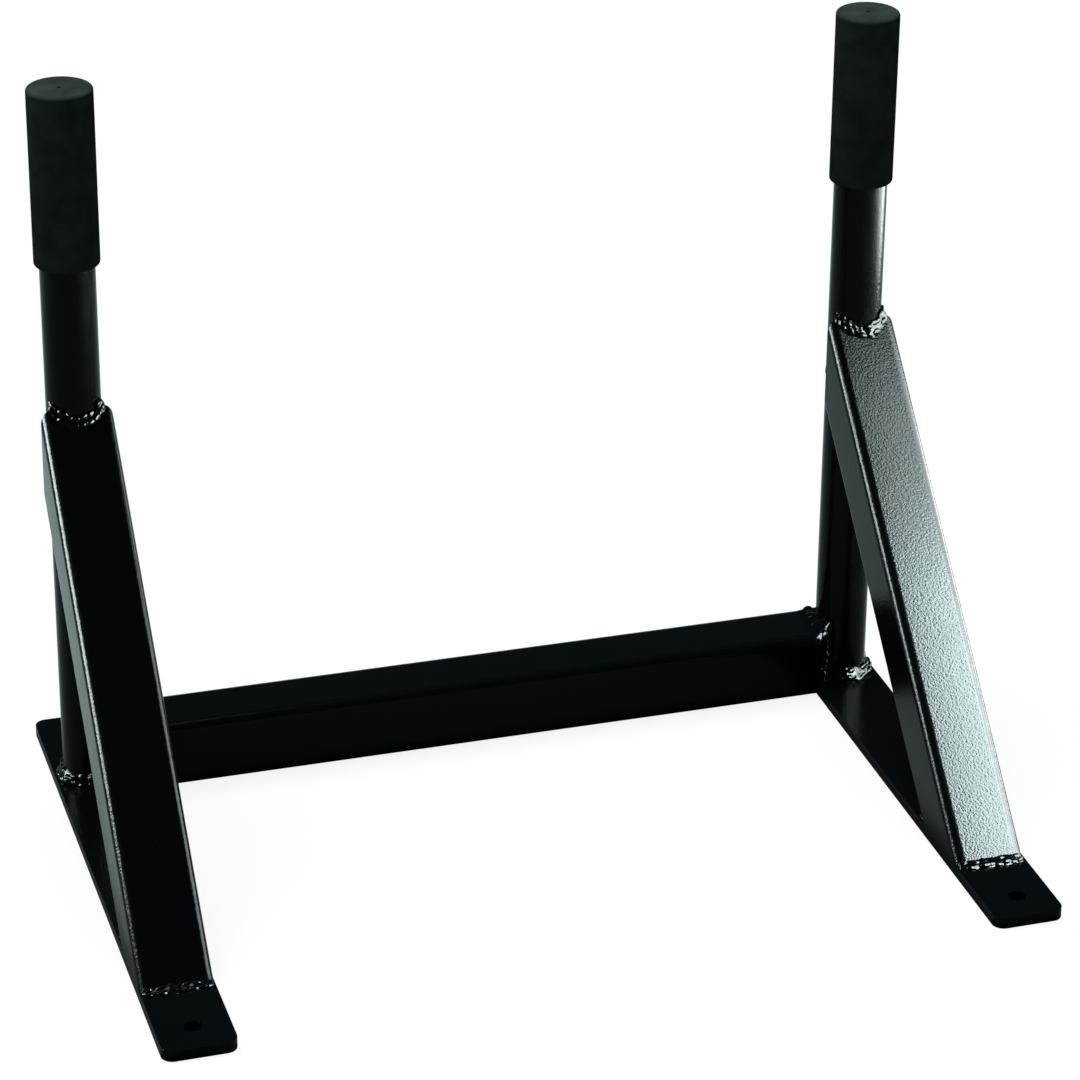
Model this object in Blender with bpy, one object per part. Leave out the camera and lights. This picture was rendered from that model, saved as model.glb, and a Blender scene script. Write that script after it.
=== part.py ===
"""Wall-mounted dip station at its real size, in metres.

Each side is a flat wall plate that carries a round handle, standing square off the wall, and a diagonal
square tube that props it. A square cross tube ties the two sides together and lies flush with the wall.
The wall plane is z = 0 and Z points away from the wall. X runs along the cross tube. The origin is
midway between the two plates, at the middle of their length, and the handles are nearer the +Y end.
"""
import math

import bmesh
import bpy
from mathutils import Vector

# Gap kept between faces that touch on the real object
TOUCH_GAP = 0.0003

# Wall plates of flat bar
PLATE_LENGTH = 0.450
PLATE_WIDTH = 0.050
PLATE_THICKNESS = 0.008
PLATE_CORNER_RADIUS = 0.008
PLATE_EDGE_BEVEL = 0.0008
BOLT_HOLE_DIAMETER = 0.012
BOLT_HOLE_FROM_END = 0.025

# Round handles
HANDLE_SPACING = 0.570
HANDLE_FROM_FAR_END = 0.085
HANDLE_REACH = 0.526
HANDLE_DIAMETER = 0.038
HANDLE_WALL = 0.0025

# Rubber grips
GRIP_LENGTH = 0.125
GRIP_WALL = 0.0032
GRIP_END_WALL = 0.004
GRIP_RIM_RADIUS = 0.0025
GRIP_LIP_BEVEL = 0.0015
GRIP_VENT_DIAMETER = 0.003

# Square tube
BRACE_SIDE = 0.050
CROSS_SIDE = 0.050
SQUARE_WALL = 0.003
SQUARE_CORNER_RADIUS = 0.007

# Where each brace starts and ends
BRACE_FOOT_FROM_NEAR_END = 0.069
BRACE_TOP_REACH = 0.299
BRACE_LAP = 0.007

# Weld beads: the length of each leg, how far the cross tube's beads stand off its skin at its end,
# how far a bead's face is domed and how deep a bead goes in between two pieces
BASE_WELD_LEG = 0.005
BRACE_TOP_WELD_LEG = 0.0058
BRACE_UNDER_WELD_LEG = 0.006
FOOT_WELD_LEG = 0.0055
CROSS_WELD_LEG = 0.0055
CROSS_WELD_SHOULDER = 0.0025
WELD_CROWN = 0.0009
WELD_ROOT_DEPTH = 0.0025

# Share of its full size that a bead has at its end, next to its end, and along its run
BEAD_END_SHARES = (0.45, 0.8, 1.0)

# Weld extents, in degrees round the handle
BASE_WELD_OPEN_HALF_ANGLE = 57.0
BRACE_WELD_HALF_ANGLE = 62.0
BRACE_SIDE_WELD_TOE_ANGLE = 12.0
CROSS_WELD_HALF_ANGLE = 45.0
CROSS_WELD_ROOT_HALF_ANGLE = 34.0

# Facets
ROUND_STEPS = 48
CORNER_STEPS = 5
HOLE_STEPS = 32
CROWN_STEPS = 3
BASE_WELD_STATIONS = 31
BRACE_WELD_STATIONS = 17
CROSS_WELD_TOP_STEPS = 6
SMOOTH_ANGLE = math.radians(32.0)

# Sizes that follow from the driving dimensions
HANDLE_RADIUS = HANDLE_DIAMETER / 2
HANDLE_CLEAR_RADIUS = HANDLE_RADIUS + TOUCH_GAP
HANDLE_Y = PLATE_LENGTH / 2 - HANDLE_FROM_FAR_END
PLATE_TOP = PLATE_THICKNESS + TOUCH_GAP
SQUARE_INNER_RADIUS = max(SQUARE_CORNER_RADIUS - SQUARE_WALL, TOUCH_GAP)
CROSS_END_SETBACK = max(PLATE_WIDTH / 2, HANDLE_RADIUS + CROSS_WELD_LEG)
BRACE_FOOT_Y = -PLATE_LENGTH / 2 + BRACE_FOOT_FROM_NEAR_END - HANDLE_Y
BRACE_CUT_Y = -(HANDLE_RADIUS - BRACE_LAP)
BRACE_RISE = (BRACE_TOP_REACH - PLATE_THICKNESS) / (BRACE_CUT_Y - BRACE_FOOT_Y)
BRACE_STRETCH = math.hypot(1.0, BRACE_RISE)


def clear_scene():
    """Remove every object from the scene."""
    for item in list(bpy.data.objects):
        bpy.data.objects.remove(item, do_unlink=True)


def make_finish(name, colour, roughness, metallic):
    """Return a Principled material of one colour."""
    finish = bpy.data.materials.new(name)
    finish.use_nodes = True
    shader = finish.node_tree.nodes["Principled BSDF"]
    shader.inputs["Base Color"].default_value = (*colour, 1.0)
    shader.inputs["Roughness"].default_value = roughness
    shader.inputs["Metallic"].default_value = metallic
    finish.diffuse_color = (*colour, 1.0)
    return finish


def circle(radius, height, steps=ROUND_STEPS):
    """Return a ring of points round the Z axis."""
    turns = [2 * math.pi * step / steps for step in range(steps)]
    return [Vector((radius * math.cos(turn), radius * math.sin(turn), height)) for turn in turns]


def rounded_rectangle(width, depth, radius):
    """Return (point, outward normal) pairs in the plane, anticlockwise from the +X side's lower corner."""
    corners = ((1, -1, -90.0), (1, 1, 0.0), (-1, 1, 90.0), (-1, -1, 180.0))
    outline = []
    for side_x, side_y, start in corners:
        centre = Vector((side_x * (width / 2 - radius), side_y * (depth / 2 - radius)))
        for step in range(CORNER_STEPS + 1):
            turn = math.radians(start + 90.0 * step / CORNER_STEPS)
            normal = Vector((math.cos(turn), math.sin(turn)))
            outline.append((centre + radius * normal, normal))
    return outline


def loft(rings, closed=False):
    """Join rings of points into one solid: a closed loop of rings, or an open run with capped ends."""
    count = len(rings[0])
    points = [point for ring in rings for point in ring]
    faces = []
    for index in range(len(rings) if closed else len(rings) - 1):
        here = index * count
        there = (index + 1) % len(rings) * count
        for step in range(count):
            after = (step + 1) % count
            faces.append((here + step, here + after, there + after, there + step))
    if not closed:
        faces.append(tuple(range(count - 1, -1, -1)))
        faces.append(tuple(range(len(points) - count, len(points))))
    return points, faces


def add_solid(name, shape, finish, parent=None):
    """Make a named object from points and faces, with its faces turned outwards and its curves smooth."""
    points, faces = shape
    mesh = bpy.data.meshes.new(name)
    mesh.from_pydata(points, [], faces)
    work = bmesh.new()
    work.from_mesh(mesh)
    bmesh.ops.recalc_face_normals(work, faces=work.faces)
    work.to_mesh(mesh)
    work.free()
    mesh.shade_smooth()
    mesh.set_sharp_from_angle(angle=SMOOTH_ANGLE)
    mesh.materials.append(finish)
    solid = bpy.data.objects.new(name, mesh)
    bpy.context.scene.collection.objects.link(solid)
    solid.parent = parent
    return solid


def add_cylinder_cutter(name, radius, low, high, steps, parent, place=(0.0, 0.0, 0.0)):
    """Make an upright cylinder that only cuts other pieces."""
    cutter = add_solid(name, loft([circle(radius, low, steps), circle(radius, high, steps)]), None, parent)
    cutter.location = place
    cutter.hide_render = True
    cutter.display_type = "WIRE"
    return cutter


def cut(solid, cutter):
    """Subtract the cutter from the solid."""
    step = solid.modifiers.new(cutter.name, "BOOLEAN")
    step.operation = "DIFFERENCE"
    step.solver = "EXACT"
    step.object = cutter


def build_wall_plate(side, paint, frame):
    """Flat bar with rounded corners, eased edges and a bolt hole near each end."""
    levels = (
        (PLATE_EDGE_BEVEL, 0.0),
        (0.0, PLATE_EDGE_BEVEL),
        (0.0, PLATE_THICKNESS - PLATE_EDGE_BEVEL),
        (PLATE_EDGE_BEVEL, PLATE_THICKNESS),
    )
    rings = []
    for inset, height in levels:
        outline = rounded_rectangle(
            PLATE_WIDTH - 2 * inset, PLATE_LENGTH - 2 * inset, PLATE_CORNER_RADIUS - inset
        )
        rings.append([Vector((point.x, point.y - HANDLE_Y, height)) for point, _ in outline])
    plate = add_solid(f"wall_plate_{side}", loft(rings), paint, frame)
    for end, direction in (("near", -1), ("far", 1)):
        hole_y = direction * (PLATE_LENGTH / 2 - BOLT_HOLE_FROM_END) - HANDLE_Y
        cutter = add_cylinder_cutter(
            f"bolt_hole_{end}_{side}", BOLT_HOLE_DIAMETER / 2, -PLATE_THICKNESS, 2 * PLATE_THICKNESS,
            HOLE_STEPS, frame, (0.0, hole_y, 0.0),
        )
        cut(plate, cutter)


def build_handle_tube(side, paint, frame):
    """Round tube from the plate to the inside of the grip's end."""
    top = HANDLE_REACH - GRIP_END_WALL - TOUCH_GAP
    bore = HANDLE_RADIUS - HANDLE_WALL
    profile = ((HANDLE_RADIUS, PLATE_TOP), (HANDLE_RADIUS, top), (bore, top), (bore, PLATE_TOP))
    rings = [circle(radius, height) for radius, height in profile]
    add_solid(f"handle_tube_{side}", loft(rings, closed=True), paint, frame)


def build_rubber_grip(side, rubber, frame):
    """Sleeve with a closed, vented end, pushed over the handle tube."""
    outer = HANDLE_CLEAR_RADIUS + GRIP_WALL
    bottom = HANDLE_REACH - GRIP_LENGTH
    inner_end = HANDLE_REACH - GRIP_END_WALL
    profile = [
        (HANDLE_CLEAR_RADIUS, bottom),
        (outer - GRIP_LIP_BEVEL, bottom),
        (outer, bottom + GRIP_LIP_BEVEL),
    ]
    for step in range(CORNER_STEPS + 1):
        turn = math.radians(90.0 * step / CORNER_STEPS)
        profile.append((
            outer - GRIP_RIM_RADIUS * (1 - math.cos(turn)),
            HANDLE_REACH - GRIP_RIM_RADIUS * (1 - math.sin(turn)),
        ))
    profile += [
        (GRIP_VENT_DIAMETER / 2, HANDLE_REACH),
        (GRIP_VENT_DIAMETER / 2, inner_end),
        (HANDLE_CLEAR_RADIUS, inner_end),
    ]
    rings = [circle(radius, height) for radius, height in profile]
    add_solid(f"rubber_grip_{side}", loft(rings, closed=True), rubber, frame)


def brace_face_height(y):
    """Height of the brace's front face above the wall, at a distance y from the handle's axis."""
    return PLATE_THICKNESS + BRACE_RISE * (y - BRACE_FOOT_Y)


def brace_direction():
    """Unit vector up the brace, from its foot towards the handle."""
    return Vector((0.0, 1.0, BRACE_RISE)) / BRACE_STRETCH


def brace_normal(flat_normal):
    """Turn a normal of the square section into the brace's own tilt."""
    front = Vector((0.0, -BRACE_RISE, 1.0)) / BRACE_STRETCH
    return Vector((flat_normal.x, 0.0, 0.0)) + flat_normal.y * front


def brace_rails(side_length, radius):
    """Return (point, normal) for each long line of the brace's skin, centred in the same section."""
    front = Vector((0.0, -BRACE_RISE, 1.0)) / BRACE_STRETCH
    foot = Vector((0.0, BRACE_FOOT_Y, PLATE_THICKNESS))
    rails = []
    for point, normal in rounded_rectangle(side_length, side_length, radius):
        start = foot + Vector((point.x, 0.0, 0.0)) + (point.y - BRACE_SIDE / 2) * front
        rails.append((start, brace_normal(normal)))
    return rails


def along_brace_to_height(start, height):
    """Slide a point along the brace to a given height above the wall."""
    direction = brace_direction()
    return start + direction * ((height - start.z) / direction.z)


def along_brace_to_y(start, y):
    """Slide a point along the brace to a given distance from the handle's axis."""
    direction = brace_direction()
    return start + direction * ((y - start.y) / direction.y)


def build_brace_tube(side, paint, frame):
    """Square tube, cut to the plate at its foot and coped round the handle at its top."""
    outer = [start for start, _ in brace_rails(BRACE_SIDE, SQUARE_CORNER_RADIUS)]
    inner = [
        start
        for start, _ in brace_rails(BRACE_SIDE - 2 * SQUARE_WALL, SQUARE_INNER_RADIUS)
    ]
    rings = [
        [along_brace_to_height(start, PLATE_TOP) for start in outer],
        [along_brace_to_y(start, BRACE_CUT_Y) for start in outer],
        [along_brace_to_y(start, BRACE_CUT_Y) for start in inner],
        [along_brace_to_height(start, PLATE_TOP) for start in inner],
    ]
    brace = add_solid(f"brace_tube_{side}", loft(rings, closed=True), paint, frame)
    cutter = add_cylinder_cutter(
        f"brace_cope_{side}", HANDLE_CLEAR_RADIUS, PLATE_THICKNESS / 2, HANDLE_REACH, ROUND_STEPS, frame
    )
    cut(brace, cutter)


def build_cross_tube(paint, frame):
    """Square tube between the two sides, its underside in the wall plane."""
    half = HANDLE_SPACING / 2 - CROSS_END_SETBACK - TOUCH_GAP
    sections = (
        rounded_rectangle(CROSS_SIDE, CROSS_SIDE, SQUARE_CORNER_RADIUS),
        rounded_rectangle(CROSS_SIDE - 2 * SQUARE_WALL, CROSS_SIDE - 2 * SQUARE_WALL, SQUARE_INNER_RADIUS),
    )
    rings = []
    for section, ends in zip(sections, ((-half, half), (half, -half))):
        for end in ends:
            rings.append([Vector((end, point.x, point.y + CROSS_SIDE / 2)) for point, _ in section])
    add_solid("cross_tube", loft(rings, closed=True), paint, frame)


def on_handle(turn, height, radius=HANDLE_CLEAR_RADIUS):
    """Return the point just off the handle's skin at a turn (radians) from +X."""
    return Vector((radius * math.cos(turn), radius * math.sin(turn), height))


def bead_section(toe, other_toe, root):
    """Return a bead's outline: a domed face from toe to toe, then back through its root points."""
    outward = ((toe + other_toe) / 2 - sum(root, Vector()) / len(root)).normalized()
    section = [toe]
    for step in range(1, CROWN_STEPS):
        share = step / CROWN_STEPS
        section.append(toe.lerp(other_toe, share) + outward * WELD_CROWN * math.sin(math.pi * share))
    return section + [other_toe, *root]


def end_taper(index, count):
    """Return the share of its full size that a bead has at a station: less at its two ends."""
    distance = min(index, count - 1 - index)
    return BEAD_END_SHARES[min(distance, len(BEAD_END_SHARES) - 1)]


def build_handle_base_weld(side, inward, paint, frame):
    """Fillet round the handle's foot, open towards the cross tube."""
    half = math.radians(180.0 - BASE_WELD_OPEN_HALF_ANGLE)
    middle = 0.0 if inward < 0 else math.pi
    rings = []
    for index in range(BASE_WELD_STATIONS):
        turn = middle - half + 2 * half * index / (BASE_WELD_STATIONS - 1)
        leg = BASE_WELD_LEG * end_taper(index, BASE_WELD_STATIONS)
        outward = Vector((math.cos(turn), math.sin(turn), 0.0))
        corner = on_handle(turn, PLATE_TOP)
        rings.append(bead_section(corner + outward * leg, corner + Vector((0, 0, leg)), [corner]))
    add_solid(f"handle_base_weld_{side}", loft(rings), paint, frame)


def brace_weld_stations(offset, leg):
    """Return (corner, toe, leg) round the handle, for a bead on a face parallel to the brace's front.

    The face lies at an upright offset from the front face, and the corner is where it meets the handle.
    """
    half = math.radians(BRACE_WELD_HALF_ANGLE)
    stations = []
    for index in range(BRACE_WELD_STATIONS):
        turn = -math.pi / 2 - half + 2 * half * index / (BRACE_WELD_STATIONS - 1)
        short_leg = leg * end_taper(index, BRACE_WELD_STATIONS)
        corner = on_handle(turn, 0.0)
        corner.z = brace_face_height(corner.y) + offset
        toe = corner + Vector((math.cos(turn), math.sin(turn), 0.0)) * short_leg
        toe.z = brace_face_height(toe.y) + offset
        stations.append((corner, toe, short_leg))
    return stations


def build_brace_top_weld(side, paint, frame):
    """U-shaped fillet on the brace's front face, round the handle."""
    rings = []
    for corner, toe, leg in brace_weld_stations(TOUCH_GAP * BRACE_STRETCH, BRACE_TOP_WELD_LEG):
        rings.append(bead_section(toe, corner + Vector((0.0, 0.0, leg)), [corner]))
    add_solid(f"brace_top_weld_{side}", loft(rings), paint, frame)


def build_brace_under_weld(side, paint, frame):
    """Fillet in the sharp corner under the brace's top end."""
    drop = (BRACE_SIDE + TOUCH_GAP) * BRACE_STRETCH
    rings = []
    for corner, toe, leg in brace_weld_stations(-drop, BRACE_UNDER_WELD_LEG):
        rings.append(bead_section(toe, corner - Vector((0.0, 0.0, leg * BRACE_STRETCH)), [corner]))
    add_solid(f"brace_under_weld_{side}", loft(rings), paint, frame)


def build_brace_side_weld(name, direction, paint, frame):
    """Upright bead that joins one side of the brace's cut end to the handle."""
    rails = [
        rail for rail in brace_rails(BRACE_SIDE, SQUARE_CORNER_RADIUS) if faces_sideways(rail[1], direction)
    ]
    rails.sort(key=lambda rail: along_brace_to_y(rail[0], BRACE_CUT_Y).z)
    root_y = BRACE_CUT_Y + TOUCH_GAP
    root_turn = math.asin(root_y / HANDLE_CLEAR_RADIUS)
    full_turn = math.radians(-BRACE_SIDE_WELD_TOE_ANGLE)
    rings = []
    for index, (start, _) in enumerate(rails):
        edge = along_brace_to_y(start, root_y)
        toe_turn = root_turn + (full_turn - root_turn) * end_taper(index, len(rails))
        contacts = [on_handle(turn, edge.z) for turn in (toe_turn, (toe_turn + root_turn) / 2, root_turn)]
        for contact in contacts:
            contact.x *= direction
        rings.append(bead_section(edge, contacts[0], contacts[1:]))
    add_solid(name, loft(rings), paint, frame)


def faces_sideways(normal, direction):
    """Tell whether a normal of the brace points to one side, by half a right angle or less."""
    return normal.x * direction > math.sqrt(0.5)


def build_foot_weld(name, direction, paint, frame):
    """Bead across the brace's foot: direction -1 is in front of it and 1 is behind it."""
    rails = [
        rail for rail in brace_rails(BRACE_SIDE, SQUARE_CORNER_RADIUS)
        if rail[1].y * direction > 0 and not faces_sideways(rail[1], 1) and not faces_sideways(rail[1], -1)
    ]
    rails.sort(key=lambda rail: rail[0].x)
    rings = []
    for index, (start, normal) in enumerate(rails):
        at_end = index in (0, len(rails) - 1)
        leg = FOOT_WELD_LEG * (BEAD_END_SHARES[0] if at_end else BEAD_END_SHARES[-1])
        flat = Vector((normal.x, normal.y, 0.0))
        outward = flat.normalized()
        corner = along_brace_to_height(start, PLATE_TOP) + outward * (TOUCH_GAP / flat.length)
        climb = corner + brace_direction() * leg
        rings.append(bead_section(corner + outward * leg, climb, [corner]))
    add_solid(name, loft(rings), paint, frame)


def cross_weld_stations():
    """Return (point, normal) up the back of the cross tube's section, over its top and down its front."""
    corner_points = CORNER_STEPS + 1
    outline = rounded_rectangle(CROSS_SIDE, CROSS_SIDE, SQUARE_CORNER_RADIUS)
    back = outline[corner_points:2 * corner_points]
    front = outline[2 * corner_points:3 * corner_points]
    start, upward = back[-1]
    top = [
        (start.lerp(front[0][0], step / CROSS_WELD_TOP_STEPS), upward)
        for step in range(1, CROSS_WELD_TOP_STEPS)
    ]
    feet = [
        (Vector((side * CROSS_SIDE / 2, PLATE_TOP - CROSS_SIDE / 2)), Vector((side, 0.0)))
        for side in (1.0, -1.0)
    ]
    return [feet[0], *back, *top, *front, feet[1]]


def build_cross_tube_weld(side, inward, paint, frame):
    """Bead over the cross tube's end, front, top and back, filling the corner up to the handle."""
    flat_half = CROSS_SIDE / 2 - SQUARE_CORNER_RADIUS
    half = math.radians(CROSS_WELD_HALF_ANGLE)
    root_half = math.radians(CROSS_WELD_ROOT_HALF_ANGLE)
    radius = HANDLE_CLEAR_RADIUS / math.cos(half / CROSS_WELD_TOP_STEPS)
    rings = []
    for point, normal in cross_weld_stations():
        skin = point + normal * TOUCH_GAP
        raised = skin + normal * CROSS_WELD_SHOULDER
        sunk = point - normal * WELD_ROOT_DEPTH
        share = max(-1.0, min(1.0, point.x / flat_half))
        ring = bead_section(
            Vector((CROSS_END_SETBACK, raised.x, raised.y)),
            on_handle(half * share, point.y + CROSS_WELD_LEG * normal.y, radius),
            [
                on_handle(root_half * share, point.y - WELD_ROOT_DEPTH * normal.y, radius),
                Vector((CROSS_END_SETBACK, sunk.x, sunk.y)),
                Vector((CROSS_END_SETBACK, skin.x, skin.y)),
                Vector((CROSS_END_SETBACK + CROSS_WELD_LEG, skin.x, skin.y)),
            ],
        )
        for corner in ring:
            corner.x *= inward
            corner.z += CROSS_SIDE / 2
        rings.append(ring)
    add_solid(f"cross_tube_weld_{side}", loft(rings), paint, frame)


def build_side(side, inward, paint, bead_paint, rubber):
    """One handle with its plate, brace, grip and welds, placed by an empty on the handle's axis."""
    frame = bpy.data.objects.new(f"{side}_side", None)
    bpy.context.scene.collection.objects.link(frame)
    frame.location = (-inward * HANDLE_SPACING / 2, HANDLE_Y, 0.0)
    build_wall_plate(side, paint, frame)
    build_handle_tube(side, paint, frame)
    build_rubber_grip(side, rubber, frame)
    build_brace_tube(side, paint, frame)
    build_handle_base_weld(side, inward, bead_paint, frame)
    build_cross_tube_weld(side, inward, bead_paint, frame)
    build_brace_top_weld(side, bead_paint, frame)
    build_brace_under_weld(side, bead_paint, frame)
    build_brace_side_weld(f"brace_inner_weld_{side}", inward, bead_paint, frame)
    build_brace_side_weld(f"brace_outer_weld_{side}", -inward, bead_paint, frame)
    build_foot_weld(f"brace_toe_weld_{side}", -1, bead_paint, frame)
    build_foot_weld(f"brace_heel_weld_{side}", 1, bead_paint, frame)


def main():
    """Build the whole dip station."""
    clear_scene()
    paint = make_finish("gloss_black_paint", (0.006, 0.008, 0.009), 0.25, 0.0)
    bead_paint = make_finish("painted_weld_bead", (0.007, 0.009, 0.010), 0.30, 0.0)
    rubber = make_finish("black_rubber", (0.010, 0.013, 0.012), 0.65, 0.0)
    build_side("left", 1, paint, bead_paint, rubber)
    build_side("right", -1, paint, bead_paint, rubber)
    middle = bpy.data.objects.new("cross_tube_place", None)
    bpy.context.scene.collection.objects.link(middle)
    middle.location = (0.0, HANDLE_Y, 0.0)
    build_cross_tube(paint, middle)


main()
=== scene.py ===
"""Wall-mounted dip station: a welded frame in gloss black enamel with two rubber grips.

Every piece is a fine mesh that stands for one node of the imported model, at the same place.
Lengths are in metres and turns are in radians, unless a name says degrees or millimetres.
"""

import logging
import math
from collections.abc import Sequence
from dataclasses import dataclass, field
from enum import Enum

import bmesh
import bpy
from mathutils import Euler, Matrix, Vector, noise


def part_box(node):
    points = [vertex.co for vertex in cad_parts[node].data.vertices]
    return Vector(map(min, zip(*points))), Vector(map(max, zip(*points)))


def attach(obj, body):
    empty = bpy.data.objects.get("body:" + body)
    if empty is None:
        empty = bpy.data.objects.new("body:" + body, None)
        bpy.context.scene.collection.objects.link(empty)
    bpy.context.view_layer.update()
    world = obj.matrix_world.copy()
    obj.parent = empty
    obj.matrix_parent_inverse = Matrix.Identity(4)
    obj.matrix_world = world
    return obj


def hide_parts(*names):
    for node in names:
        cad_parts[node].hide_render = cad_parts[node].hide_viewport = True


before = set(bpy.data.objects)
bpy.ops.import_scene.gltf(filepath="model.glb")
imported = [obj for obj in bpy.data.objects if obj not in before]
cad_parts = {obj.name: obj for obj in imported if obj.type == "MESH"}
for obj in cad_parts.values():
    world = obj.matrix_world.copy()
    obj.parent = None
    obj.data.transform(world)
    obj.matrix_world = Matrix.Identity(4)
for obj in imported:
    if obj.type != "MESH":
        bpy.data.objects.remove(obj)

LOG = logging.getLogger("dip_station")

SMOOTH_ANGLE = math.radians(32.0)
# A bead's toes go this deep into what it joins.
SINK = 0.00015
# Sides of a rectangle's corners, anticlockwise, and where each one's quarter turn starts, in degrees.
CORNERS = ((1, -1, -90.0), (1, 1, 0.0), (-1, 1, 90.0), (-1, -1, 180.0))
# X and Y parts of the normal in the middle of a rounded square corner.
DIAGONAL = math.sqrt(0.5)

Ring = list[Vector]
Pair = tuple[Vector, Vector]


def srgb(code: str) -> tuple[float, float, float, float]:
    """Turn an sRGB hex colour into a linear one.

    Args:
        code: The colour, as "#rrggbb".

    Returns:
        Linear red, green and blue, and an alpha of 1.
    """
    levels = [int(code[place:place + 2], 16) / 255 for place in (1, 3, 5)]
    linear = [level / 12.92 if level <= 0.04045 else ((level + 0.055) / 1.055) ** 2.4 for level in levels]
    return (*linear, 1.0)


def per_metre(millimetres: float) -> float:
    """Return the texture scale at which one cell of a pattern is this many millimetres."""
    return 1000.0 / millimetres


def feed(node: bpy.types.Node, inputs: dict) -> bpy.types.Node:
    """Set or link a node's inputs.

    Args:
        node: The node.
        inputs: Values or output sockets, by the input's name or number.

    Returns:
        The same node.
    """
    for key, value in inputs.items():
        if isinstance(value, bpy.types.NodeSocket):
            node.id_data.links.new(value, node.inputs[key])
        else:
            node.inputs[key].default_value = value
    return node


def add_node(tree: bpy.types.NodeTree, kind: str, inputs: dict | None = None, **settings) -> bpy.types.Node:
    """Add a node, set its properties, and set or link its inputs.

    Args:
        tree: The tree that gets the node.
        kind: The node's type name.
        inputs: Values or output sockets, by the input's name or number.
        settings: The node's own properties.

    Returns:
        The new node.
    """
    node = tree.nodes.new(kind)
    for name, value in settings.items():
        setattr(node, name, value)
    return feed(node, inputs or {})


def set_stops(ramp: bpy.types.Node, *stops: tuple[float, str]) -> bpy.types.NodeSocket:
    """Set a colour ramp's stops.

    Args:
        ramp: The ramp's node.
        stops: (position, sRGB hex colour) pairs.

    Returns:
        The ramp's colour socket.
    """
    for element, (position, code) in zip(ramp.color_ramp.elements, stops):
        element.position = position
        element.color = srgb(code)
    return ramp.outputs["Color"]


def relief(tree: bpy.types.NodeTree, *layers: tuple[bpy.types.Node, float]) -> bpy.types.NodeSocket:
    """Lay patterns over each other as the relief of a surface.

    Args:
        tree: The material's tree.
        layers: (pattern, depth in millimetres) pairs, the coarsest first.

    Returns:
        The socket of the surface's normal.
    """
    under = {}
    for pattern, depth_mm in layers:
        bump = add_node(tree, "ShaderNodeBump", {
            "Height": pattern.outputs["Fac"], "Distance": depth_mm / 1000, "Strength": 1.0, **under,
        })
        under = {"Normal": bump.outputs["Normal"]}
    return under["Normal"]


def quarter(centre: Vector, radius: float, start_degrees: float, steps: int) -> list[Pair]:
    """Trace a quarter of a circle anticlockwise.

    Args:
        centre: The circle's centre, in its own plane.
        radius: Its radius.
        start_degrees: Where the quarter starts, from the X direction.
        steps: Number of straight pieces.

    Returns:
        (point, outward normal) pairs, with both ends.
    """
    turns = [math.radians(start_degrees + 90.0 * step / steps) for step in range(steps + 1)]
    normals = [Vector((math.cos(turn), math.sin(turn))) for turn in turns]
    return [(centre + radius * normal, normal) for normal in normals]


def circle(centre: Vector, radius: float, steps: int) -> Ring:
    """Return points round a level circle, anticlockwise."""
    turns = [2 * math.pi * step / steps for step in range(steps)]
    return [centre + radius * Vector((math.cos(turn), math.sin(turn), 0.0)) for turn in turns]


def curve(start: Vector, first: Vector, second: Vector, end: Vector, steps: int) -> Ring:
    """Return points along a smooth curve between two ends, with a pull near each.

    Args:
        start: The curve's start.
        first: The pull near the start.
        second: The pull near the end.
        end: The curve's end.
        steps: Number of pieces.

    Returns:
        The points, with both ends.
    """
    points = []
    for step in range(steps + 1):
        share = step / steps
        rest = 1.0 - share
        near = rest ** 3 * start + 3 * rest ** 2 * share * first
        points.append(near + 3 * rest * share ** 2 * second + share ** 3 * end)
    return points


def facing(place: Vector, right: Vector, up: Vector, back: Vector) -> Matrix:
    """Return the matrix of a lamp or camera at a place, with its own axes along three directions."""
    return Matrix.Translation(place) @ Matrix((right, up, back)).transposed().to_4x4()


class Side(Enum):
    """One of the two mirrored sides, with the X direction towards the middle."""

    LEFT = ("left", 1.0)
    RIGHT = ("right", -1.0)

    @property
    def label(self) -> str:
        """The side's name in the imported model's node names."""
        return self.value[0]

    @property
    def inward(self) -> float:
        """The sign of the X direction towards the middle."""
        return self.value[1]


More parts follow.
